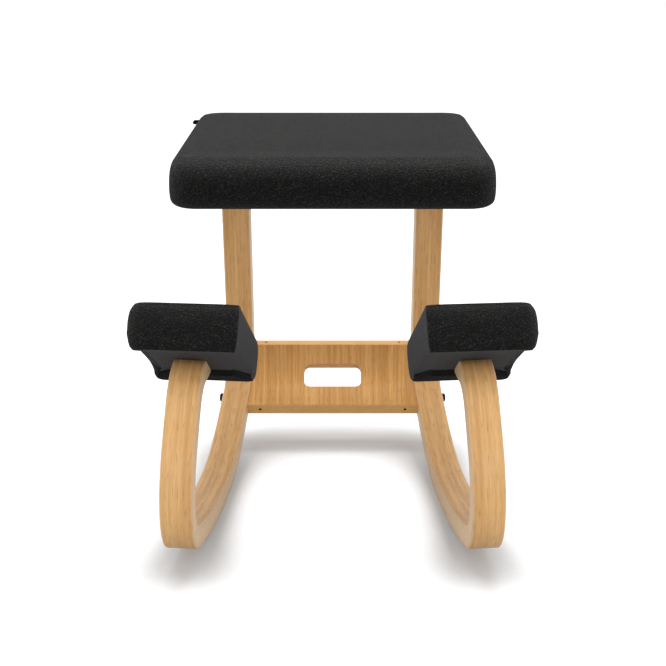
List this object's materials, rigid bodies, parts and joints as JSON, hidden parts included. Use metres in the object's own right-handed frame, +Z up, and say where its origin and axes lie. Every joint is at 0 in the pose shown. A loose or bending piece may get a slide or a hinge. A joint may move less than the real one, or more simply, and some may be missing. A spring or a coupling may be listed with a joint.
{
  "type": "kneeling chair",
  "caption": "Rocking kneeling chair: bent laminated runners carry a padded seat and sloping knee pads, tied at the rear by a curved panel with a hand slot.",
  "frame": {"origin": "on the floor, midway across the chair and midway between the front of the runners and the rear of their heels", "axes": "+Z up, +Y rearward, +X to the viewer's right when the chair is seen from the front"},
  "size_m": [0.5242, 0.7241, 0.5366],
  "materials": {
    "wood": "satin",
    "fabric": "matte",
    "foam": "matte",
    "board": "matte",
    "lining": "matte",
    "bolts": "satin",
    "nuts": "satin",
    "pins": "matte"
  },
  "bodies": {
    "root": {"cross_panel": "wood", "runner_left": "wood", "knee_cover_left": "fabric", "knee_foam_left": "foam", "knee_board_left": "board", "knee_cloth_left": "lining", "knee_bolt_front_left": "bolts", "knee_nut_front_left": "nuts", "seat_bolt_front_left": "bolts", "seat_nut_front_left": "nuts", "knee_bolt_rear_left": "bolts", "knee_nut_rear_left": "nuts", "seat_bolt_rear_left": "bolts", "seat_nut_rear_left": "nuts", "panel_bolt_lower_left": "bolts", "panel_insert_lower_left": "nuts", "panel_pin_lower_left": "pins", "panel_bolt_upper_left": "bolts", "panel_insert_upper_left": "nuts", "panel_pin_upper_left": "pins", "runner_right": "wood", "knee_cover_right": "fabric", "knee_foam_right": "foam", "knee_board_right": "board", "knee_cloth_right": "lining", "knee_bolt_front_right": "bolts", "knee_nut_front_right": "nuts", "seat_bolt_front_right": "bolts", "seat_nut_front_right": "nuts", "knee_bolt_rear_right": "bolts", "knee_nut_rear_right": "nuts", "seat_bolt_rear_right": "bolts", "seat_nut_rear_right": "nuts", "panel_bolt_lower_right": "bolts", "panel_insert_lower_right": "nuts", "panel_pin_lower_right": "pins", "panel_bolt_upper_right": "bolts", "panel_insert_upper_right": "nuts", "panel_pin_upper_right": "pins", "seat_cover": "fabric", "seat_foam": "foam", "seat_board": "board", "seat_cloth": "lining", "seat_tab": "lining"}
  },
  "joints": []
}
